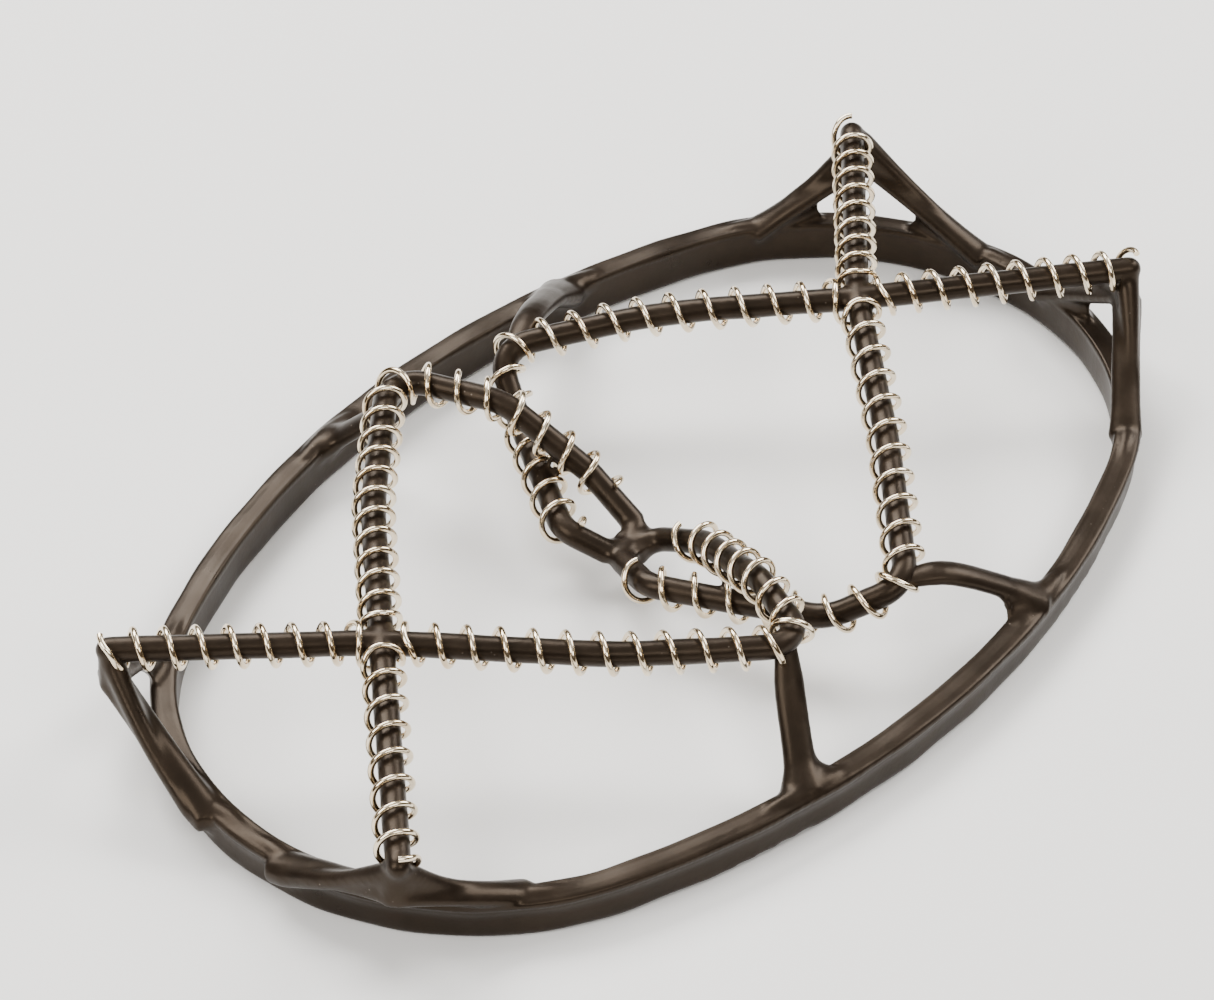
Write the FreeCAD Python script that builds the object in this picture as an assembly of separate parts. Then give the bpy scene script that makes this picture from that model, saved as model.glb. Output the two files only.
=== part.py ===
"""Shoe ice cleats: one moulded rubber harness and four steel wire coils threaded on its sole net.

The harness stands sole side up. Its oval band rests on the floor, the net lies above it on legs,
and the hub in the middle of the net hangs down inside the band. Millimetres, +Z up, X along the shoe,
origin on the floor at the middle of the overall box.
"""
import FreeCAD, Part
import math
import os

V = FreeCAD.Vector
UP = V(0, 0, 1)

# ---- driving dimensions (relaxed medium size) ----
BAND_LENGTH = 240.0          # band centre line, along X
BAND_WIDTH = 151.0           # band centre line, along Y
BAND_END_RADIUS = 64.0       # centre line radius of the toe and heel arcs
BAND_HEIGHT = 10.0
BAND_THICKNESS = 4.6
BAND_SKEW = 1.5              # degrees; the relaxed band lies slightly askew to the net
BAND_SHIFT = V(1.0, -1.5, 0)
BAND_EDGE_RADIUS = 1.4
BAND_LIP = 0.6               # how far the outer lip stands proud of the band
BAND_LIP_HEIGHT = 2.6

STRAND_DIAMETER = 5.3
WIRE_DIAMETER = 1.3
COIL_CLEARANCE = 0.7         # radial gap between a strand and the wire around it
CROSS_STEP = 4.4             # from a crossing's middle to the turns on each side of it
CROSS_BULGE = 1.25           # how far the outer coil stands off under a crossing
CROSS_SQUEEZE = 0.15         # how far the inner coil is drawn in under a crossing
COIL_START = -1.5            # where the wire starts, from the tip along the strand
FIRST_TURN = 5.4             # top of the first whole turn, clear of the tip's neck
OUTER_COIL_SPREAD = 0.2      # extra radius of the outer coil beside a crossing
COIL_END_GAP = 3.0           # the wire stops this far from the hub end of its strand
# how far along a turn the wire has come at each quarter: an even turn, the one that starts behind the tip,
# and the ones before, under and after a crossing
EVEN_TURN = (0, 0.25, 0.5, 0.75)
TIP_TURN = (0, 0.42, 0.72, 0.86)
TURN_BEFORE_CROSSING = (0, 0.2, 0.42, 0.63)
TURN_UNDER_CROSSING = (0, -0.03, 0.5, 1.03)
TURN_AFTER_CROSSING = (0, 0.37, 0.58, 0.8)

TIP_HEIGHT = 30.5            # strand axis at three of the tips
LOW_TIP_HEIGHT = 24.5        # and at the heel's right tip, which sags towards the band
CROSS_HEIGHT = 29.5
UPPER_CORNER_HEIGHT = 27.0   # corners whose strands pass over
LOWER_CORNER_HEIGHT = 21.0   # corners whose strands pass under
HUB_HEIGHT = 8.0
HUB_WIDTH = 8.0
HUB_THICKNESS = 4.2
BOW_RADIUS = 120.0           # strand axis between a crossing and a corner
BEND_RADIUS = 6.5            # strand axis at the four corners
DIVE_RADIUS = 14.0           # strand axis where it goes over or under its neighbour
HUB_TURN_RADIUS = 6.0        # strand axis where it turns in to the hub
CROSS_ARM = 5.2              # half length of each crossing piece along a strand

TIP_LENGTH = 2.8             # from the middle of the rounded tip to where the strand starts
NECK_TOP = (5.1, 4.1)        # width and thickness of the neck at the strand's axis
NECK_FOOT = (8.4, 4.8)       # and at the fork's crotch
NECK_DROP = 9.0              # from the strand axis down to the underside of the fork's crotch
BRANCH_WIDTH = 6.4
BRANCH_THICKNESS = 4.0
BRANCH_FLARE = 1.2           # its foot, as a share of its width
BRANCH_ROOT = 0.6            # how far outside the crotch's middle a branch starts
CROTCH_RISE = 0.4            # how far the branches' undersides stand below the neck
END_FOOT_ANGLE = 3.5         # direction of the fork feet next to the toe and heel, from the X axis
SIDE_FOOT_ANGLE = 29.0       # direction of the fork feet on the sides
LEG_WIDTH = 6.0
LEG_THICKNESS = 3.4
LEG_ROOT = 0.7               # a leg's root between two turns of wire, as a share of its width
LEG_FLARE = 1.9              # a leg's foot is this many times as wide as the leg
LEG_SHOULDER = 0.16          # where a leg starts to turn down, as a share of the way to its foot
LEG_SWAY = 0.22              # how far it is carried out of the bend there, as a share of its run
SHOULDER = 0.33              # the same place on a straight branch
KNEE = 0.7                   # where a limb heads for its foot, and the share of its arch left there
FOOT_SINK = 2.0              # how deep a foot is moulded into the band before it is trimmed

# ---- fixed values ----
MEDIUM_LENGTH = 240.0        # the band that the net's points are stated for
MEDIUM_WIDTH = 151.0
SAME_PLACE = 1e-6
BEND_SIDE = 0.9              # cosine of the turn angle within which the wire is on a bend's inside
TURN_STEP = 0.05             # radians, for the wire's direction at a knot

# ---- derived ----
STRAND_RADIUS = STRAND_DIAMETER / 2
WIRE_RADIUS = WIRE_DIAMETER / 2
COIL_RADIUS = STRAND_RADIUS + COIL_CLEARANCE + WIRE_RADIUS
END_CENTRE = BAND_LENGTH / 2 - BAND_END_RADIUS
HALF_WIDTH = BAND_WIDTH / 2
SIDE_RADIUS = ((END_CENTRE ** 2 + HALF_WIDTH ** 2 - BAND_END_RADIUS ** 2)
               / (2 * (HALF_WIDTH - BAND_END_RADIUS)))
SIDE_CENTRE = SIDE_RADIUS - HALF_WIDTH
END_HALF_ANGLE = math.degrees(math.atan2(SIDE_CENTRE, END_CENTRE))


def plan(x, y, z):
    """A point of the medium net. Other sizes are graded with the band, and heights stay."""
    return V(x * BAND_LENGTH / MEDIUM_LENGTH, y * BAND_WIDTH / MEDIUM_WIDTH, z)


HUB = plan(-4, 1.5, HUB_HEIGHT)

# The net's strands. inner lists the corners of a strand's axis between the crossing and the hub: a slight
# bow, the corner, the dive over or under the neighbour, and the turn in to the hub. turns counts the whole
# turns of wire between the tip and the crossing, and pitch is the spacing from there on. An outer coil runs
# outside the coil that it meets at the crossing. leg says where on the band the corner's leg stands, arch
# is the leg's height, and lean is how far the tip's fork leans over sideways.
STRANDS = {
    "heel_left": dict(
        tip=plan(-116, 41, TIP_HEIGHT), cross=plan(-77, 3, CROSS_HEIGHT),
        inner=[plan(-47, -33, 28.0), plan(-18, -59, UPPER_CORNER_HEIGHT), plan(-9, -38, 26.2),
               plan(1, -14, 15.5), plan(1, -2, 9.0)],
        turns=7, pitch=6.6, outer=True, leg=plan(-34, -72, 0), arch=24.5, lean=plan(0, 0, 0)),
    "heel_right": dict(
        tip=plan(-117, -40, LOW_TIP_HEIGHT), cross=plan(-77, 3, CROSS_HEIGHT),
        inner=[plan(-47, 34.5, 28.2), plan(-14, 62, UPPER_CORNER_HEIGHT), plan(-4, 38, 27.1),
               plan(1, 18, 16.0), plan(1, 5, 9.0)],
        turns=7, pitch=6.6, outer=False, leg=plan(-22, 76, 0), arch=24.0, lean=plan(0, 0, 0)),
    "toe_right": dict(
        tip=plan(116, -34, TIP_HEIGHT), cross=plan(70, 3.5, CROSS_HEIGHT),
        inner=[plan(41, 36, 25.0), plan(13, 56, LOWER_CORNER_HEIGHT), plan(6, 43, 12.7),
               plan(-13, 13, 12.0), plan(-9, 3, 8.6)],
        turns=8, pitch=7.0, outer=True, leg=plan(46, 68, 0), arch=23.5, lean=plan(0, 0, 0)),
    "toe_left": dict(
        tip=plan(112, 41, TIP_HEIGHT), cross=plan(70, 3.5, CROSS_HEIGHT),
        inner=[plan(43, -28, 25.0), plan(14.5, -57.5, LOWER_CORNER_HEIGHT), plan(2, -47, 13.6),
               plan(-14, -12, 12.0), plan(-9, 0, 8.6)],
        turns=8, pitch=7.2, outer=False, leg=plan(38, -74, 0), arch=23.5, lean=plan(2.2, -2.5, 0)),
}


# ---- helpers ----
def rounded_path(points, radii):
    """Straight runs joined by tangent arcs. radii has one value per inner point."""
    edges = []
    start = points[0]
    for before, corner, after, radius in zip(points, points[1:], points[2:], radii):
        a = (before - corner).normalize()
        b = (after - corner).normalize()
        half = math.acos(max(-1.0, min(1.0, a.dot(b)))) / 2
        reach = radius / math.tan(half)
        bisector = (a + b).normalize()
        centre = corner + bisector * (radius / math.sin(half))
        first = corner + a * reach
        last = corner + b * reach
        edges.append(Part.LineSegment(start, first).toShape())
        edges.append(Part.Arc(first, centre - bisector * radius, last).toShape())
        start = last
    edges.append(Part.LineSegment(start, points[-1]).toShape())
    return edges


def tube(edges, diameter):
    """A round bar along edges that meet tangentially."""
    first = edges[0]
    start = first.valueAt(first.FirstParameter)
    direction = first.tangentAt(first.FirstParameter)
    ring = Part.Wire([Part.makeCircle(diameter / 2, start, direction)])
    return Part.Wire(edges).makePipeShell([ring], True, False)


def rod(start, end, diameter):
    axis = end - start
    return Part.makeCylinder(diameter / 2, axis.Length, start, axis)


def oval(centre, along, across, width, thickness):
    """An elliptical section: normal to along, width measured in the direction of across."""
    normal = V(along).normalize()
    side = V(across) - normal * normal.dot(across)
    side.normalize()
    depth = normal.cross(side)
    ellipse = Part.Ellipse(centre + side * (width / 2), centre + depth * (thickness / 2), centre)
    return Part.Wire([ellipse.toShape()])


def band_point(angle_deg, z):
    """The band's centre line in the direction angle_deg, measured from the oval's own long axis."""
    x = math.cos(math.radians(angle_deg))
    y = math.sin(math.radians(angle_deg))
    s = SIDE_CENTRE * abs(y)
    reach = -s + math.sqrt(s * s - SIDE_CENTRE ** 2 + SIDE_RADIUS ** 2)
    if math.atan2(reach * abs(y) + SIDE_CENTRE, reach * abs(x)) < math.radians(END_HALF_ANGLE):
        c = END_CENTRE * abs(x)
        reach = c + math.sqrt(c * c - END_CENTRE ** 2 + BAND_END_RADIUS ** 2)
    return set_askew(V(reach * x, reach * y, z))


def set_askew(thing):
    """A point or shape of the straight band, moved to where the relaxed band lies."""
    turn = FreeCAD.Placement(BAND_SHIFT, FreeCAD.Rotation(UP, BAND_SKEW))
    if isinstance(thing, V):
        return turn.multVec(thing)
    return thing.transformed(turn.toMatrix())


def band_angle(point):
    """The direction of a point from the middle of the oval, measured from the oval's own long axis."""
    own = FreeCAD.Placement(BAND_SHIFT, FreeCAD.Rotation(UP, BAND_SKEW)).inverse().multVec(point)
    return math.degrees(math.atan2(own.y, own.x))


# ---- the band ----
def band_section(radius):
    """The strap's upright section in the XZ plane, at that distance from the Z axis."""
    inside = radius - BAND_THICKNESS / 2
    outside = radius + BAND_THICKNESS / 2
    lip = outside + BAND_LIP
    lip_start = BAND_HEIGHT - BAND_LIP_HEIGHT
    corners = [V(inside, 0, 0), V(outside, 0, 0), V(outside, 0, lip_start - BAND_LIP),
               V(lip, 0, lip_start), V(lip, 0, BAND_HEIGHT), V(inside, 0, BAND_HEIGHT)]
    return Part.Face(Part.makePolygon(corners + corners[:1]))


def band_arc(centre, radius, middle_angle, half_angle):
    """A quarter of the band: its section turned about an upright axis."""
    arc = band_section(radius)
    arc.rotate(V(0, 0, 0), UP, middle_angle - half_angle)
    arc.translate(centre)
    solid = arc.revolve(centre, UP, 2 * half_angle)
    rounded = [e for e in solid.Edges if edge_is_rounded(e)]
    return solid.makeFillet(BAND_EDGE_RADIUS, rounded)


def edge_is_rounded(edge):
    """The long edges along the top and bottom of the band."""
    heights = [v.Z for v in edge.Vertexes]
    flat = max(heights) - min(heights) < SAME_PLACE
    at_face = min(abs(heights[0]), abs(heights[0] - BAND_HEIGHT)) < SAME_PLACE
    return flat and at_face and edge.Curve.TypeId == "Part::GeomCircle"


def make_band():
    side_half_angle = 90.0 - END_HALF_ANGLE
    straight = {
        "band_toe": band_arc(V(END_CENTRE, 0, 0), BAND_END_RADIUS, 0, END_HALF_ANGLE),
        "band_heel": band_arc(V(-END_CENTRE, 0, 0), BAND_END_RADIUS, 180, END_HALF_ANGLE),
        "band_left": band_arc(V(0, -SIDE_CENTRE, 0), SIDE_RADIUS, 90, side_half_angle),
        "band_right": band_arc(V(0, SIDE_CENTRE, 0), SIDE_RADIUS, -90, side_half_angle),
    }
    return {name: set_askew(piece) for name, piece in straight.items()}


# ---- the net ----
def strand_path(strand):
    """Edges of a strand's axis: edge 0 runs to the crossing, 1 to 3 to the corner, 4 is the corner arc."""
    points = [strand["cross"]] + strand["inner"]
    edges = rounded_path(points, [BOW_RADIUS, BEND_RADIUS, DIVE_RADIUS, HUB_TURN_RADIUS])
    outer = Part.LineSegment(strand["tip"], strand["cross"]).toShape()
    return [outer] + edges


def trimmed_line(edge, start_trim, end_trim):
    a = edge.Vertexes[0].Point
    b = edge.Vertexes[-1].Point
    d = (b - a).normalize()
    return Part.LineSegment(a + d * start_trim, b - d * end_trim).toShape()


def make_strands(name, path):
    """One strand's moulded pieces, end to end."""
    outer = trimmed_line(path[0], TIP_LENGTH, CROSS_ARM)
    inner = trimmed_line(path[1], CROSS_ARM, 0)
    return {
        name + "_outer_strand": tube([outer], STRAND_DIAMETER),
        name + "_inner_strand": tube([inner] + path[2:4], STRAND_DIAMETER),
        name + "_corner": tube([path[4]], STRAND_DIAMETER),
        name + "_hub_strand": tube(path[5:], STRAND_DIAMETER),
    }


def make_cross(first, second):
    """Four short arms that meet in one plane."""
    centre = first["cross"]
    arms = []
    for strand in (first, second):
        for far in (strand["tip"], strand["inner"][0]):
            direction = (far - centre).normalize()
            arms.append(rod(centre, centre + direction * CROSS_ARM, STRAND_DIAMETER))
    middle = Part.makeSphere(STRAND_RADIUS, centre)
    return arms[0].multiFuse(arms[1:] + [middle]).removeSplitter()


def make_hub(ends, hub_strands):
    """A flat round web that the four bare strand ends run into."""
    web = Part.makeCylinder(HUB_WIDTH / 2, HUB_THICKNESS, HUB - UP * (HUB_THICKNESS / 2), UP)
    arms = [rod(HUB, end, STRAND_DIAMETER) for end in ends]
    hub = web.multiFuse(arms)
    for strand in hub_strands:
        hub = hub.cut(strand)
    return largest(hub.removeSplitter())


def largest(shape):
    return max(shape.Solids, key=lambda solid: solid.Volume)


# ---- the tips, forks and legs ----
def make_neck(strand):
    """A tip: the strand's rounded end, with a flat neck under it that the fork springs from."""
    tip = strand["tip"]
    along = (strand["cross"] - tip).normalize()
    across = along.cross(UP).normalize()
    stub = rod(tip, tip + along * TIP_LENGTH, STRAND_DIAMETER)
    ball = Part.makeSphere(STRAND_RADIUS, tip)
    low = tip + strand["lean"] - UP * NECK_DROP
    neck = Part.makeLoft([oval(tip, UP, across, *NECK_TOP), oval(low, UP, across, *NECK_FOOT)], True, True)
    return stub.fuse(ball).fuse(neck)


def limb(start, shoulder, foot, lift, widths, thickness):
    """A flat strap from start over its shoulder and knee to its foot on the band.

    lift is the height of its arch, and widths are those at the start, along its length and at the foot."""
    run = foot - start
    across = UP.cross(V(run.x, run.y, 0)).normalize()
    knee = start + run * KNEE + UP * lift * KNEE
    root_width, width, foot_width = widths
    stations = [(start, shoulder - start, root_width), (shoulder, knee - start, width),
                (knee, foot - shoulder, width), (foot, foot - knee, foot_width)]
    rings = [oval(place, along, across, wide, thickness) for place, along, wide in stations]
    return Part.makeLoft(rings, True, False)


def fork_feet(tip):
    """The two places on the band where a tip's fork lands: beside the toe or heel, and on the side."""
    sx = math.copysign(1, tip.x)
    sy = math.copysign(1, tip.y)
    feet = []
    for angle in (END_FOOT_ANGLE, SIDE_FOOT_ANGLE):
        p = band_point(angle, BAND_HEIGHT - FOOT_SINK)
        feet.append(V(sx * p.x, sy * p.y, p.z))
    return feet


def behind(point, toward):
    """A block on the far side of an upright plane through point that faces toward."""
    size = 2 * NECK_DROP
    block = Part.makeBox(size, size, size, V(-size, -size / 2, -size / 2))
    block.rotate(V(0, 0, 0), UP, math.degrees(math.atan2(toward.y, toward.x)))
    block.translate(point)
    return block


def make_branches(name, strand, neck, band):
    """The two branches of a tip's fork, trimmed to meet the neck and the band face to face."""
    tip = strand["tip"]
    split = tip + strand["lean"] - UP * (NECK_DROP - BRANCH_THICKNESS / 2 + CROTCH_RISE)
    nodes = {}
    for suffix, foot in zip(("end_branch", "side_branch"), fork_feet(tip)):
        toward = V(foot.x - split.x, foot.y - split.y, 0).normalize()
        start = split + toward * BRANCH_ROOT
        widths = (BRANCH_WIDTH, BRANCH_WIDTH, BRANCH_WIDTH * BRANCH_FLARE)
        branch = limb(start, start + (foot - start) * SHOULDER, foot, 0.0, widths, BRANCH_THICKNESS)
        branch = branch.cut(behind(split, toward)).cut(neck).cut(band)
        for other in nodes.values():
            branch = branch.cut(other)
        nodes[name + "_" + suffix] = largest(branch)
    return nodes


def make_leg(strand, path, band, rubber):
    """The single leg between a corner of the net and the band, trimmed to meet both face to face.

    Its root is where the wire is on the inside of the bend, so it comes out between two turns."""
    axis = Axis(path)
    bend = path[4]
    middle = sum(edge.Length for edge in path[:4]) + bend.Length / 2
    point, along = axis.at(middle)
    left = UP.cross(along).normalize()
    inside = 1 if (bend.Curve.Center - point).dot(left) > 0 else -1
    passes = [s for s, turn, radius in quarter_turns(strand, axis) if math.cos(turn) * inside > BEND_SIDE]
    root, along = axis.at(min(passes, key=lambda s: abs(s - middle)))
    away = UP.cross(along).normalize() * -inside
    foot = band_point(band_angle(strand["leg"]), BAND_HEIGHT - FOOT_SINK)
    run = foot - root
    arch = strand["arch"] - root.z
    shoulder = root + run * LEG_SHOULDER + away * (run.Length * LEG_SWAY) + UP * arch
    widths = (LEG_WIDTH * LEG_ROOT, LEG_WIDTH, LEG_WIDTH * LEG_FLARE)
    leg = limb(root, shoulder, foot, arch, widths, LEG_THICKNESS)
    for piece in rubber:
        leg = leg.cut(piece)
    return largest(leg.cut(band))


# ---- the coils ----
class Axis:
    """A strand's axis measured by length from the tip, with a left and an up direction at each place."""

    def __init__(self, edges):
        self.edges = edges
        self.length = sum(e.Length for e in edges)

    def at(self, s):
        """Point and tangent at that distance. It runs straight on before the tip."""
        if s < 0:
            start = self.edges[0].valueAt(self.edges[0].FirstParameter)
            direction = self.edges[0].tangentAt(self.edges[0].FirstParameter)
            return start + direction * s, direction
        for edge in self.edges[:-1]:
            if s <= edge.Length:
                break
            s -= edge.Length
        else:
            edge = self.edges[-1]
        u = edge.getParameterByLength(min(s, edge.Length))
        return edge.valueAt(u), edge.tangentAt(u).normalize()

    def wire_point(self, s, turn, radius):
        """The wire's centre at that distance; turn is measured from the left side over the top."""
        point, along = self.at(s)
        left = UP.cross(along).normalize()
        top = along.cross(left)
        return point + left * (radius * math.cos(turn)) + top * (radius * math.sin(turn))


def quarter_turns(strand, axis):
    """(distance, turn angle, radius) of the wire at each quarter turn, from the tip to the hub end."""
    cross_at = axis.edges[0].Length
    before = cross_at - CROSS_STEP
    pitch = (before - FIRST_TURN) / strand["turns"]
    tops = [COIL_START] + [FIRST_TURN + pitch * k for k in range(strand["turns"] + 1)]
    crossing = len(tops) - 1
    place = cross_at + CROSS_STEP
    while place < axis.length - COIL_END_GAP:
        tops.append(place)
        place += strand["pitch"]
    shares = {0: TIP_TURN, crossing - 1: TURN_BEFORE_CROSSING, crossing: TURN_UNDER_CROSSING,
              crossing + 1: TURN_AFTER_CROSSING}
    knots = []
    quarter = math.pi / 2
    for k, (here, there) in enumerate(zip(tops, tops[1:])):
        for q, share in enumerate(shares.get(k, EVEN_TURN)):
            radius = COIL_RADIUS
            if k == crossing:
                radius += under_crossing(q, strand["outer"])
            knots.append((here + (there - here) * share, quarter * (4 * k + q + 1), radius))
    knots.append((tops[-1], quarter * (4 * len(tops) - 3), COIL_RADIUS))
    return knots


def under_crossing(q, outer):
    """How much farther out the wire runs at quarter q of the turn that passes under a crossing."""
    if q == 2:
        return CROSS_BULGE if outer else -CROSS_SQUEEZE
    if q > 0 and outer:
        return OUTER_COIL_SPREAD
    return 0.0


def biarc(p0, t0, p1, t1):
    """Two arcs that leave p0 along t0, meet tangentially and reach p1 along t1."""
    v = p1 - p0
    t = t0 + t1
    denominator = 2 * (1 - t0.dot(t1))
    reach = (-v.dot(t) + math.sqrt(v.dot(t) ** 2 + denominator * v.dot(v))) / denominator
    middle = (p0 + t0 * reach + p1 - t1 * reach) * 0.5
    return [arc_from(p0, p0 + t0 * reach, middle), arc_from(middle, p1 - t1 * reach, p1)]


def arc_from(start, control, end):
    """The arc from start to end whose end tangents meet at control."""
    weight = (end - start).Length / ((control - start).Length + (end - control).Length)
    middle = (start + control * (2 * weight) + end) * (1 / (2 + 2 * weight))
    return Part.Arc(start, middle, end).toShape()


def make_coil(strand, path):
    """The wire: tangent arcs through the quarter turns, swept with a round section."""
    axis = Axis(path)
    knots = quarter_turns(strand, axis)
    points = [axis.wire_point(*knot) for knot in knots]
    tangents = []
    for k, (s, turn, radius) in enumerate(knots):
        s0, turn0, radius0 = knots[max(k - 1, 0)]
        s1, turn1, radius1 = knots[min(k + 1, len(knots) - 1)]
        ahead = (s1 - s) / max(turn1 - turn, TURN_STEP)
        trailing = (s - s0) / max(turn - turn0, TURN_STEP)
        slope = min(ahead, trailing, key=abs)
        bulge = (radius1 - radius0) / (turn1 - turn0)
        a = axis.wire_point(s - slope * TURN_STEP, turn - TURN_STEP, radius - bulge * TURN_STEP)
        b = axis.wire_point(s + slope * TURN_STEP, turn + TURN_STEP, radius + bulge * TURN_STEP)
        tangents.append((b - a).normalize())
    edges = []
    for p0, t0, p1, t1 in zip(points, tangents, points[1:], tangents[1:]):
        edges += biarc(p0, t0, p1, t1)
    return tube(edges, WIRE_DIAMETER)


# ---- the whole object ----
def make_nodes():
    """Every node by name, in the net's own place."""
    nodes = make_band()
    band = nodes["band_toe"].multiFuse([nodes["band_heel"], nodes["band_left"], nodes["band_right"]])
    paths = {name: strand_path(strand) for name, strand in STRANDS.items()}
    for name, strand in STRANDS.items():
        neck = make_neck(strand)
        strands = make_strands(name, paths[name])
        nodes[name + "_tip"] = neck
        nodes.update(make_branches(name, strand, neck, band))
        nodes.update(strands)
        nodes[name + "_leg"] = make_leg(strand, paths[name], band, strands.values())
    nodes["heel_crossing"] = make_cross(STRANDS["heel_left"], STRANDS["heel_right"])
    nodes["toe_crossing"] = make_cross(STRANDS["toe_left"], STRANDS["toe_right"])
    ends = [strand["inner"][-1] for strand in STRANDS.values()]
    nodes["hub"] = make_hub(ends, [nodes[name + "_hub_strand"] for name in STRANDS])
    for name, strand in STRANDS.items():
        nodes[name + "_coil"] = make_coil(strand, paths[name])
    return nodes


def main():
    nodes = make_nodes()
    box = Part.makeCompound(list(nodes.values())).optimalBoundingBox(False)
    to_origin = V(-(box.XMin + box.XMax) / 2, -(box.YMin + box.YMax) / 2, -box.ZMin)
    print("moved by", to_origin, "size", box.XLength, box.YLength, box.ZLength)
    os.makedirs("parts", exist_ok=True)
    for name, shape in nodes.items():
        placed = shape.translated(to_origin)
        state = "valid" if placed.isValid() else "BAD"
        print(name, len(placed.Solids), "solid", round(placed.Volume, 1), "mm3", state)
        placed.exportStep("parts/" + name + ".step")


main()
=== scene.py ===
"""Shoe ice cleats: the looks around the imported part. The rubber harness is skinned over the CAD moulding."""
import math
import bpy
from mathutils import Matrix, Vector


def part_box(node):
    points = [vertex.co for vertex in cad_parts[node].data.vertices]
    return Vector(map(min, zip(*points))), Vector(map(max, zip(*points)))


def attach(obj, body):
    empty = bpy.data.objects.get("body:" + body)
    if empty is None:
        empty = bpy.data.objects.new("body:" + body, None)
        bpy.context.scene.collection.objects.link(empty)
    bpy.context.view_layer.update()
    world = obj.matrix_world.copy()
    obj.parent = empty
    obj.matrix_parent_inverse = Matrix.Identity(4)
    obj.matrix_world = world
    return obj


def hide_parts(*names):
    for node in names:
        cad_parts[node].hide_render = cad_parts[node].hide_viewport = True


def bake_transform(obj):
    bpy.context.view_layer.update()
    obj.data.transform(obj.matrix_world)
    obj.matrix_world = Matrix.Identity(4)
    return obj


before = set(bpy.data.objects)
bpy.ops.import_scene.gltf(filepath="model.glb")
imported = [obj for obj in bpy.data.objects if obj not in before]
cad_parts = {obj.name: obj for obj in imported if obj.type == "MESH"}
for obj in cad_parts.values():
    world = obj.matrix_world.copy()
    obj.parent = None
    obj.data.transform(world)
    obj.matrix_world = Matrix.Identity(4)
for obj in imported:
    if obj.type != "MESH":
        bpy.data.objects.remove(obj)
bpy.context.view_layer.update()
MM = 0.001

STRANDS = ("heel_left", "heel_right", "toe_right", "toe_left")
FORK_PARTS = ("_end_branch", "_side_branch")
BAND_NODES = ["band_toe", "band_heel", "band_left", "band_right"]
BRANCH_NODES = [name + part for name in STRANDS for part in FORK_PARTS]
LIMB_NODES = [name + part for name in STRANDS for part in (*FORK_PARTS, "_leg")]
TIP_NODES = [name + "_tip" for name in STRANDS]
NET_NODES = [name + part for name in STRANDS
             for part in ("_outer_strand", "_inner_strand", "_corner", "_hub_strand")]
NET_NODES += ["heel_crossing", "toe_crossing", "hub"]
COIL_NODES = [name + "_coil" for name in STRANDS]

# ---------------------------------------------------------------- measures
# the camera, fitted to the photograph
CAMERA_AZIMUTH = math.radians(-47.66)
CAMERA_ELEVATION = math.radians(41.1)
CAMERA_DISTANCE = 1210.24 * MM
CAMERA_TARGET = Vector((-1.855, 11.99, 14.44)) * MM
CAMERA_LENS = 171.36
CAMERA_SENSOR = 36.0
CAMERA_REACH = 20.0          # the far end of the view, in metres

# the studio, in metres and watts
FLOOR_HALF = 6.0
FLOOR_DROP = 0.05 * MM       # the floor lies this far below the band, so the two faces don't coincide
FLOOR_COLOUR = (0.93, 0.925, 0.915, 1)
FLOOR_ROUGHNESS = 0.75
WARM = (1.0, 0.985, 0.96)
WARMER = (1.0, 0.98, 0.95)
SOFTBOXES = (                # name, location, size, power, colour
    ("back_softbox", (0.35, 1.1, 1.3), (1.3, 0.9), 44.0, WARM),
    ("side_softbox", (1.3, -0.35, 1.1), (0.9, 0.9), 27.0, WARM),
    ("heel_softbox", (-1.2, 0.2, 0.9), (0.7, 0.9), 17.0, WARMER),
    ("front_softbox", (-0.5, -1.3, 1.2), (1.0, 0.5), 12.0, WARMER),
)
ROOM_TONES = ((0.0, (0.10, 0.08, 0.06)), (0.45, (0.16, 0.13, 0.10)),
              (0.75, (0.80, 0.77, 0.72)), (1.0, (1.0, 1.0, 1.0)))
ROOM_STRENGTH = 0.75

# the materials: a ramp's stops are (place, colour) or (place, grey)
RUBBER_TONES = ((0.25, (0.006, 0.0042, 0.003)), (0.55, (0.012, 0.008, 0.0055)), (0.85, (0.024, 0.017, 0.012)))
RUBBER_ROUGHNESS = ((0.3, 0.27), (0.8, 0.44))
RUBBER_TINT = (1.0, 0.76, 0.55, 1)
RUBBER_IOR = 1.5
RUBBER_SPECULAR = 0.26
DUST_COLOUR = (0.20, 0.17, 0.14, 1)
DUST_SPECKS = ((0.0, 1), (0.10, 0))
DUST_PATCHES = ((0.55, 0), (0.75, 1))
WIRE_TONES = ((0.3, (0.70, 0.56, 0.38)), (0.7, (0.90, 0.79, 0.61)))
WIRE_ROUGHNESS = ((0.3, 0.10), (0.75, 0.22))

# the band's four-arc oval
BAND_MIDDLE = Vector((1.015, 0.0, 0.0)) * MM
BAND_SKEW = math.radians(1.5)
END_CENTRE = 56.0 * MM
END_RADIUS = 64.0 * MM
HALF_WIDTH = 75.5 * MM
SIDE_RADIUS = (END_CENTRE ** 2 + HALF_WIDTH ** 2 - END_RADIUS ** 2) / (2 * (HALF_WIDTH - END_RADIUS))
RAIL_SAMPLES = 2880          # places tried round the band for a rail
RAIL_SPACING = 1.0 * MM
RIM_STEPS = 240
RIM_BEADS = ((2.3, 8.9, 1.0), (-1.7, 9.3, 0.8))     # outside the centre line, height, radius, in mm

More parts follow.
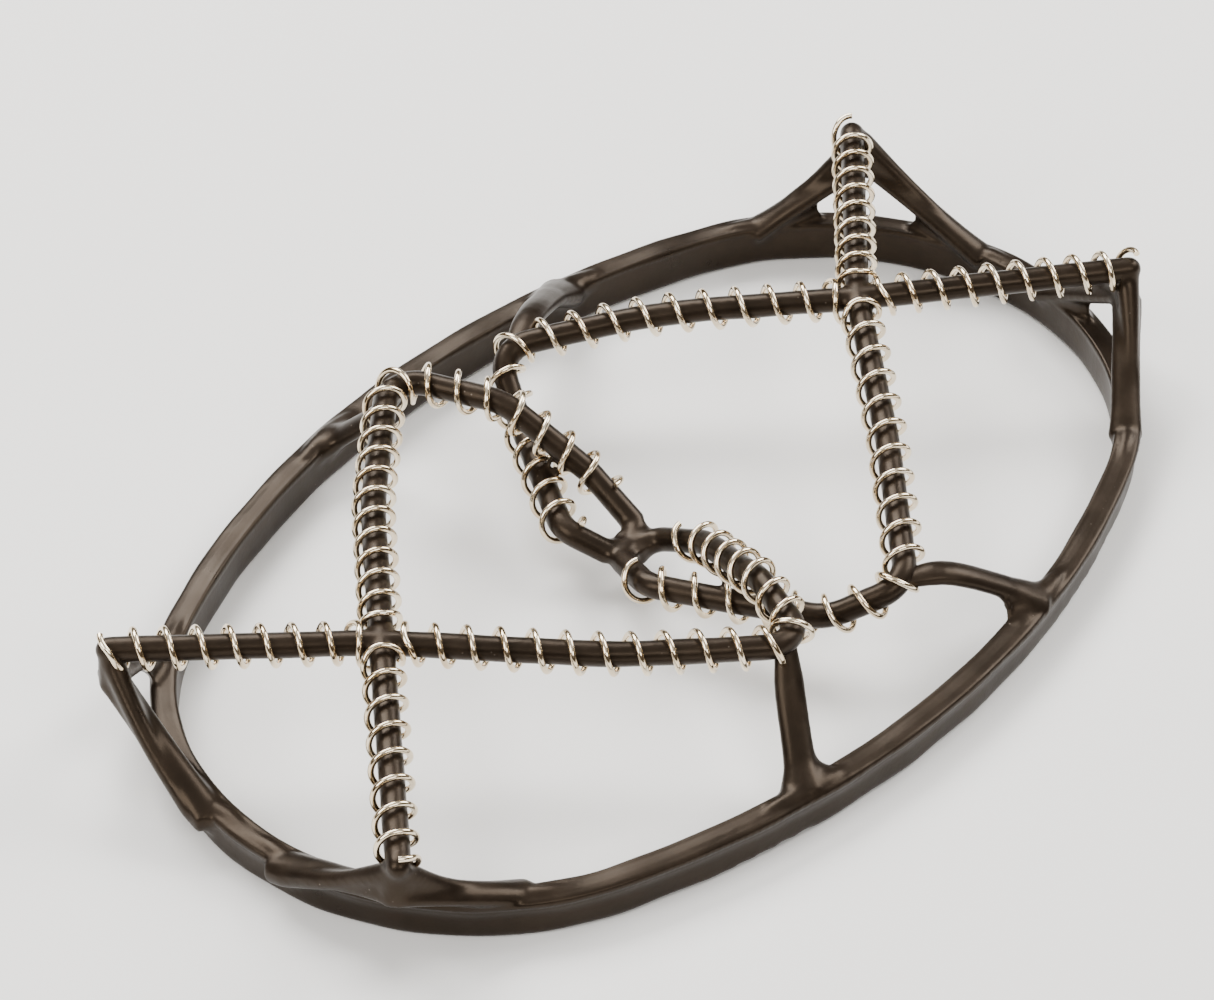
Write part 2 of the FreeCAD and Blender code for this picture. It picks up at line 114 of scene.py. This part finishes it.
# the forks, in millimetres unless noted
FORK_STEPS = 12              # spans from a tip to a foot
FORK_RAIL = (0.2, 8.3)       # outside the centre line, height
TIP_DROP = 4.2               # from a tip's top down to where its ridges start
FORK_BOW = 1.2               # how far a ridge bows outward half way
FORK_SAG = 1.0               # how far it hangs half way
UPPER_RIDGE = (2.7, 0.8)     # half width at the end, and how much less half way
LOWER_RIDGE = (2.6, 0.7)
RUN_OUT = 18                 # rail points, about 1 mm apart, that a ridge runs along the band past its foot
RUN_OUT_STEP = 2
RUN_OUT_RIDGE = (2.7, 1.7)   # half width at the foot, and how much less at the end
WAY_ON = 5                   # rail points to look along for the direction away from the tip
WEB_STRIPS = ((1, 1.9), (2, 1.8), (3, 1.7))         # step along the ridges, radius

# the legs, in millimetres unless noted
LEG_ARCHES = {"heel_left": 25.5, "heel_right": 25.0, "toe_right": 24.5, "toe_left": 24.5}
LEG_RAIL_HEIGHT = 8.2
LEG_STEPS = 16
LEG_HALF_WIDTHS = (2.3, 3.2, 3.3, 3.5, 5.2)         # from the corner to the foot
LEG_FLATNESS = 0.62          # thickness over width
SHOULDER_PLACE = 0.33        # shares of the way from the corner to the foot
KNEE_PLACE = 0.72
KNEE_LIFT = 0.7              # share of the arch's height that is left at the knee
FOOT_REACH = 10              # rail points that a foot spreads to each side
FOOT_STEP = 2
FOOT_EDGE = 1.2              # half width of a foot's spread at its ends
FOOT_CROWN = 1.9             # how much more it is in the middle
FOOT_SLICE = 1.5 * MM        # the height of a limb's lowest part

# the skins
FINE_VOXEL = 0.4 * MM
LEG_FILLET = 3.0 * MM
FORK_FILLET = 2.2 * MM
NET_FILLET = 1.4 * MM
FRAME_ROUNDS = 4             # rounds of smoothing
NET_ROUNDS = 3
FRAME_WAVINESS = 0.10 * MM
NET_WAVINESS = 0.06 * MM
NEARLY_UPRIGHT = 0.05
LAST_SPAN_GUARD = 1e-6


# ---------------------------------------------------------------- camera, floor and light
def make_camera():
    """The product view: from the heel's right, looking down with a long lens."""
    back = Vector((math.sin(CAMERA_AZIMUTH) * math.cos(CAMERA_ELEVATION),
                   -math.cos(CAMERA_AZIMUTH) * math.cos(CAMERA_ELEVATION),
                   math.sin(CAMERA_ELEVATION)))
    data = bpy.data.cameras.new("camera")
    data.lens = CAMERA_LENS
    data.sensor_width = CAMERA_SENSOR
    data.clip_end = CAMERA_REACH
    camera = bpy.data.objects.new("camera", data)
    bpy.context.collection.objects.link(camera)
    camera.location = CAMERA_TARGET + back * CAMERA_DISTANCE
    camera.rotation_euler = back.to_track_quat("Z", "Y").to_euler()
    bpy.context.scene.camera = camera


def make_floor():
    mesh = bpy.data.meshes.new("floor")
    corners = [(-FLOOR_HALF, -FLOOR_HALF, 0), (FLOOR_HALF, -FLOOR_HALF, 0),
               (FLOOR_HALF, FLOOR_HALF, 0), (-FLOOR_HALF, FLOOR_HALF, 0)]
    mesh.from_pydata(corners, [], [(0, 1, 2, 3)])
    floor = bpy.data.objects.new("floor", mesh)
    floor.location.z = -FLOOR_DROP
    bpy.context.collection.objects.link(floor)
    material, _, shader = new_material("floor_paper")
    shader.inputs["Base Color"].default_value = FLOOR_COLOUR
    shader.inputs["Roughness"].default_value = FLOOR_ROUGHNESS
    mesh.materials.append(material)


def area_light(name, location, size, power, colour):
    data = bpy.data.lights.new(name, "AREA")
    data.shape = "RECTANGLE"
    data.size, data.size_y = size
    data.energy = power
    data.color = colour
    light = bpy.data.objects.new(name, data)
    light.location = location
    light.rotation_euler = Vector(location).to_track_quat("Z", "Y").to_euler()
    bpy.context.collection.objects.link(light)


def make_world():
    """A soft room: bright overhead, brown and dim below, so that the wire has something dark to mirror."""
    world = bpy.data.worlds.new("studio")
    bpy.context.scene.world = world
    world.use_nodes = True
    tree = world.node_tree
    background = tree.nodes["Background"]
    place = node(tree, "ShaderNodeTexCoord")
    split = node(tree, "ShaderNodeSeparateXYZ")
    tree.links.new(place.outputs["Generated"], split.inputs[0])
    room = ramp(tree, split.outputs["Z"], ROOM_TONES)
    tree.links.new(room.outputs["Color"], background.inputs["Color"])
    background.inputs["Strength"].default_value = ROOM_STRENGTH


# ---------------------------------------------------------------- materials
def new_material(name):
    material = bpy.data.materials.new(name)
    material.use_nodes = True
    tree = material.node_tree
    return material, tree, tree.nodes["Principled BSDF"]


def node(tree, kind, **values):
    made = tree.nodes.new(kind)
    for key, value in values.items():
        if key in made.inputs:
            made.inputs[key].default_value = value
        else:
            setattr(made, key, value)
    return made


def ramp(tree, source, stops):
    """A colour ramp on source."""
    made = tree.nodes.new("ShaderNodeValToRGB")
    elements = made.color_ramp.elements
    while len(elements) < len(stops):
        elements.new(0.5)
    for element, (place, colour) in zip(elements, stops):
        element.position = place
        element.color = (*colour, 1)
    tree.links.new(source, made.inputs["Fac"])
    return made


def grey_ramp(tree, source, stops):
    return ramp(tree, source, [(place, (grey, grey, grey)) for place, grey in stops])


def add_bump(tree, shader, height, strength, distance):
    bump = node(tree, "ShaderNodeBump", Strength=strength, Distance=distance)
    tree.links.new(height, bump.inputs["Height"])
    tree.links.new(bump.outputs["Normal"], shader.inputs["Normal"])


def rubber_material():
    """Moulded rubber: brown-black, satin, mottled, with a fine grain and patches of dust specks."""
    material, tree, shader = new_material("moulded_rubber")
    place = node(tree, "ShaderNodeTexCoord")
    mottle = node(tree, "ShaderNodeTexNoise", Scale=90.0, Detail=5.0, Roughness=0.6)
    grain = node(tree, "ShaderNodeTexNoise", Scale=900.0, Detail=3.0, Roughness=0.6)
    specks = node(tree, "ShaderNodeTexVoronoi", Scale=420.0)
    patches = node(tree, "ShaderNodeTexNoise", Scale=35.0, Detail=2.0)
    for texture in (mottle, grain, specks, patches):
        tree.links.new(place.outputs["Object"], texture.inputs["Vector"])
    colour = ramp(tree, mottle.outputs["Fac"], RUBBER_TONES)
    dust = grey_ramp(tree, specks.outputs["Distance"], DUST_SPECKS)
    where = grey_ramp(tree, patches.outputs["Fac"], DUST_PATCHES)
    amount = node(tree, "ShaderNodeMath", operation="MULTIPLY")
    tree.links.new(dust.outputs["Color"], amount.inputs[0])
    tree.links.new(where.outputs["Color"], amount.inputs[1])
    mix = node(tree, "ShaderNodeMix", data_type="RGBA")
    tree.links.new(amount.outputs[0], mix.inputs["Factor"])
    tree.links.new(colour.outputs["Color"], mix.inputs["A"])
    mix.inputs["B"].default_value = DUST_COLOUR
    tree.links.new(mix.outputs["Result"], shader.inputs["Base Color"])
    gloss = grey_ramp(tree, mottle.outputs["Fac"], RUBBER_ROUGHNESS)
    tree.links.new(gloss.outputs["Color"], shader.inputs["Roughness"])
    add_bump(tree, shader, grain.outputs["Fac"], strength=0.25, distance=0.00012)
    shader.inputs["IOR"].default_value = RUBBER_IOR
    shader.inputs["Specular Tint"].default_value = RUBBER_TINT
    shader.inputs["Specular IOR Level"].default_value = RUBBER_SPECULAR
    return material


def wire_material():
    """Bright warm-toned metal wire with an uneven gloss and faint marks."""
    material, tree, shader = new_material("plated_wire")
    place = node(tree, "ShaderNodeTexCoord")
    tone = node(tree, "ShaderNodeTexNoise", Scale=160.0, Detail=3.0)
    marks = node(tree, "ShaderNodeTexNoise", Scale=1400.0, Detail=2.0)
    for texture in (tone, marks):
        tree.links.new(place.outputs["Object"], texture.inputs["Vector"])
    colour = ramp(tree, tone.outputs["Fac"], WIRE_TONES)
    tree.links.new(colour.outputs["Color"], shader.inputs["Base Color"])
    gloss = grey_ramp(tree, tone.outputs["Fac"], WIRE_ROUGHNESS)
    tree.links.new(gloss.outputs["Color"], shader.inputs["Roughness"])
    add_bump(tree, shader, marks.outputs["Fac"], strength=0.12, distance=0.00004)
    shader.inputs["Metallic"].default_value = 1.0
    return material


# ---------------------------------------------------------------- the band's line and the limbs' lines
def band_line(share, outward, z):
    """A point along the oval band: share of a full turn, distance outside its centre line, height."""
    turn = 2 * math.pi * share
    side = SIDE_RADIUS - HALF_WIDTH
    end_half_angle = math.atan2(side, END_CENTRE)
    x, y = math.cos(turn), math.sin(turn)
    if math.atan2(abs(y), abs(x)) < end_half_angle:
        point = Vector((math.copysign(END_CENTRE, x), 0, 0)) + Vector((x, y, 0)) * (END_RADIUS + outward)
    else:
        point = Vector((0, -math.copysign(side, y), 0)) + Vector((x, y, 0)) * (SIDE_RADIUS + outward)
    c, d = math.cos(BAND_SKEW), math.sin(BAND_SKEW)
    turned = Vector((c * point.x - d * point.y, d * point.x + c * point.y, z))
    return turned + BAND_MIDDLE


def band_rail(outward, z):
    """Points along the whole band, each at least RAIL_SPACING after the last."""
    dense = [band_line(k / RAIL_SAMPLES, outward, z) for k in range(RAIL_SAMPLES + 1)]
    rail = [dense[0]]
    travelled = 0.0
    for before, after in zip(dense, dense[1:]):
        travelled += (after - before).length
        if travelled >= RAIL_SPACING:
            rail.append(after)
            travelled = 0.0
    return rail


def nearest(rail, point):
    return min(range(len(rail)), key=lambda k: (rail[k] - point).length)


def foot_of(name):
    """The middle of a limb's lowest part, where it stands on the band."""
    points = [v.co.copy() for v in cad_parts[name].data.vertices]
    low = min(p.z for p in points)
    standing = [p for p in points if p.z < low + FOOT_SLICE]
    total = Vector((0, 0, 0))
    for point in standing:
        total += point
    return total / len(standing)


def spline(points, steps):
    """A smooth run through points: Catmull-Rom, steps spans in all."""
    padded = [points[0] * 2 - points[1]] + points + [points[-1] * 2 - points[-2]]
    spans = len(points) - 1
    run = []
    for k in range(steps + 1):
        place = min(k * spans / steps, spans - LAST_SPAN_GUARD)
        i = int(place)
        t = place - i
        a, b, c, d = padded[i:i + 4]
        run.append(0.5 * ((2 * b) + (c - a) * t + (2 * a - 5 * b + 4 * c - d) * t ** 2
                          + (3 * b - a - 3 * c + d) * t ** 3))
    return run


def spaced(values, count):
    """count values spread evenly between the ones given."""
    out = []
    for k in range(count):
        place = k * (len(values) - 1) / (count - 1)
        i = min(int(place), len(values) - 2)
        out.append(values[i] + (values[i + 1] - values[i]) * (place - i))
    return out


# ---------------------------------------------------------------- meshes and modifiers
def joined_copy(name, nodes, extras=()):
    """One mesh object from copies of CAD nodes and of extra meshes, in the row frame."""
    verts = []
    faces = []
    for mesh in [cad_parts[key].data for key in nodes] + list(extras):
        base = len(verts)
        verts += [tuple(v.co) for v in mesh.vertices]
        faces += [[base + i for i in polygon.vertices] for polygon in mesh.polygons]
    mesh = bpy.data.meshes.new(name)
    mesh.from_pydata(verts, [], faces)
    obj = bpy.data.objects.new(name, mesh)
    bpy.context.collection.objects.link(obj)
    return obj


def bead(points, radii, closed=False, flat=1.0, sides=12):
    """A bead swept along points, with a half width at each; flat is its thickness over its width."""
    count = len(points)
    verts = []
    for k, (point, radius) in enumerate(zip(points, radii)):
        before = points[k - 1] if closed or k else points[0]
        after = points[(k + 1) % count] if closed else points[min(k + 1, count - 1)]
        along = (after - before).normalized()
        side = along.cross(Vector((0, 0, 1)))
        side = side.normalized() if side.length > NEARLY_UPRIGHT else Vector((1, 0, 0))
        top = side.cross(along).normalized()
        for a in range(sides):
            turn = 2 * math.pi * a / sides
            verts.append(point + side * (radius * math.cos(turn)) + top * (radius * flat * math.sin(turn)))
    faces = []
    rings = count if closed else count - 1
    for k in range(rings):
        for a in range(sides):
            b = (a + 1) % sides
            n = (k + 1) % count
            faces.append([k * sides + a, k * sides + b, n * sides + b, n * sides + a])
    if not closed:
        faces.append(list(range(sides))[::-1])
        faces.append([(count - 1) * sides + a for a in range(sides)])
    mesh = bpy.data.meshes.new("bead")
    mesh.from_pydata([tuple(v) for v in verts], [], faces)
    return mesh


def remesh(obj, voxel):
    made = obj.modifiers.new("remesh", "REMESH")
    made.mode = "VOXEL"
    made.voxel_size = voxel


def grow(obj, distance):
    made = obj.modifiers.new("grow", "DISPLACE")
    made.strength = distance
    made.mid_level = 0.0


def apply_all(obj):
    """Makes the modifiers' result the object's own mesh."""
    graph = bpy.context.evaluated_depsgraph_get()
    mesh = bpy.data.meshes.new_from_object(obj.evaluated_get(graph))
    obj.modifiers.clear()
    old = obj.data
    obj.data = mesh
    bpy.data.meshes.remove(old)


def filleted(name, nodes, extras, voxel, fillet):
    """A continuous mesh over nodes and extras whose hollows are filled to the fillet radius."""
    obj = joined_copy(name, nodes, extras)
    remesh(obj, voxel)
    grow(obj, fillet)
    remesh(obj, voxel)
    grow(obj, -fillet)
    remesh(obj, voxel)
    apply_all(obj)
    return obj


def unevenness(p):
    """A smooth wave over a place in millimetres, with crests 12 to 30 mm apart."""
    upright = math.sin(0.31 * p.x + 1.3) * math.sin(0.27 * p.y + 0.4)
    slanting = math.sin(0.23 * p.x - 0.21 * p.y + 0.5 * p.z)
    return upright + 0.6 * slanting


def soften(obj, voxel, rounds, waviness, material):
    """Joins the parts of a skin, smooths it and gives it the slight unevenness of moulded rubber."""
    remesh(obj, voxel)
    smooth = obj.modifiers.new("smooth", "SMOOTH")
    smooth.factor = 0.5
    smooth.iterations = rounds
    apply_all(obj)
    normals = [vertex.normal.copy() for vertex in obj.data.vertices]
    for vertex, normal in zip(obj.data.vertices, normals):
        vertex.co += normal * (waviness * unevenness(vertex.co / MM))
    for polygon in obj.data.polygons:
        polygon.use_smooth = True
    obj.data.materials.clear()
    obj.data.materials.append(material)


# ---------------------------------------------------------------- the rubber skins
def band_beads():
    """The rim round the band's outer upper edge and the fainter one inside it."""
    beads = []
    for outward, height, radius in RIM_BEADS:
        line = [band_line(k / RIM_STEPS, outward * MM, height * MM) for k in range(RIM_STEPS)]
        beads.append(bead(line, [radius * MM] * RIM_STEPS, closed=True))
    return beads


def branch_ridge(tip, foot, out):
    """A bowed line from tip to foot, and its half widths."""
    line = []
    radii = []
    for k in range(FORK_STEPS + 1):
        t = k / FORK_STEPS
        bow = math.sin(math.pi * t)
        end, less = UPPER_RIDGE if t < 0.5 else LOWER_RIDGE
        line.append(tip.lerp(foot, t) + out * (FORK_BOW * MM * bow) - Vector((0, 0, FORK_SAG * MM * bow)))
        radii.append((end - less * bow) * MM)
    return line, radii


def fork_beads():
    """A rounded ridge along each branch, from the tip down to its foot and on along the band, and webs
    across the crotch between the two."""
    beads = []
    outward, height = FORK_RAIL
    rail = band_rail(outward * MM, height * MM)
    for name in STRANDS:
        low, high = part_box(name + "_tip")
        tip = Vector(((low[0] + high[0]) / 2, (low[1] + high[1]) / 2, high[2] - TIP_DROP * MM))
        out = Vector((tip.x, tip.y, 0)).normalized()
        lines = []
        for part in FORK_PARTS:
            foot = foot_of(name + part)
            at = nearest(rail, foot)
            ahead, behind = rail[(at + WAY_ON) % len(rail)], rail[at - WAY_ON]
            onward = 1 if (ahead - tip).length > (behind - tip).length else -1
            line, radii = branch_ridge(tip, foot, out)
            lines.append(line[:])
            for k in range(RUN_OUT_STEP, RUN_OUT, RUN_OUT_STEP):
                start, less = RUN_OUT_RIDGE
                line.append(rail[(at + onward * k) % len(rail)])
                radii.append((start - less * k / RUN_OUT) * MM)
            beads.append(bead(line, radii))
        for k, radius in WEB_STRIPS:
            one, other = lines[0][k], lines[1][k]
            beads.append(bead([one, one.lerp(other, 0.5), other], [radius * MM] * 3))
    return beads


def leg_beads():
    """Each leg: a flat strap from the middle of its corner over a low arch, with a broad spread foot."""
    beads = []
    rail = band_rail(0.0, LEG_RAIL_HEIGHT * MM)
    for name, arch in LEG_ARCHES.items():
        low, high = (Vector(corner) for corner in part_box(name + "_corner"))
        root = (low + high) / 2
        foot = foot_of(name + "_leg")
        at = nearest(rail, foot)
        spread = range(-FOOT_REACH, FOOT_REACH + 1, FOOT_STEP)
        line = [rail[(at + k) % len(rail)] for k in spread]
        beads.append(bead(line, [(FOOT_EDGE + FOOT_CROWN * (1 - (k / FOOT_REACH) ** 2)) * MM for k in spread]))
        run = rail[at] - root
        lift = Vector((0, 0, arch * MM - root.z))
        shoulder = root + run * SHOULDER_PLACE + lift
        knee = root + run * KNEE_PLACE + lift * KNEE_LIFT
        half_widths = [half * MM for half in spaced(LEG_HALF_WIDTHS, LEG_STEPS + 1)]
        beads.append(bead(spline([root, shoulder, knee, rail[at]], LEG_STEPS), half_widths, flat=LEG_FLATNESS))
    return beads


def make_harness(material):
    voxel = FINE_VOXEL
    legs_part = filleted("legs_part", BAND_NODES, leg_beads(), voxel, LEG_FILLET)
    forks_part = filleted("forks_part", BAND_NODES + BRANCH_NODES + TIP_NODES, fork_beads(), voxel, FORK_FILLET)
    rim = joined_copy("rim_part", [], band_beads())
    frame_skin = joined_copy("harness_band_and_limbs", [], [legs_part.data, forks_part.data, rim.data])
    for part in (legs_part, forks_part, rim):
        bpy.data.objects.remove(part)
    soften(frame_skin, voxel, FRAME_ROUNDS, FRAME_WAVINESS, material)
    net_skin = filleted("harness_net", NET_NODES + TIP_NODES, [], voxel, NET_FILLET)
    soften(net_skin, voxel, NET_ROUNDS, NET_WAVINESS, material)
    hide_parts(*(BAND_NODES + LIMB_NODES))
    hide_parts(*(NET_NODES + TIP_NODES))
    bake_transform(frame_skin)
    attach(net_skin, "net")


def finish_coils(material):
    for name in COIL_NODES:
        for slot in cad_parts[name].material_slots:
            slot.material = material


make_camera()
make_floor()
for softbox in SOFTBOXES:
    area_light(*softbox)
make_world()
make_harness(rubber_material())
finish_coils(wire_material())
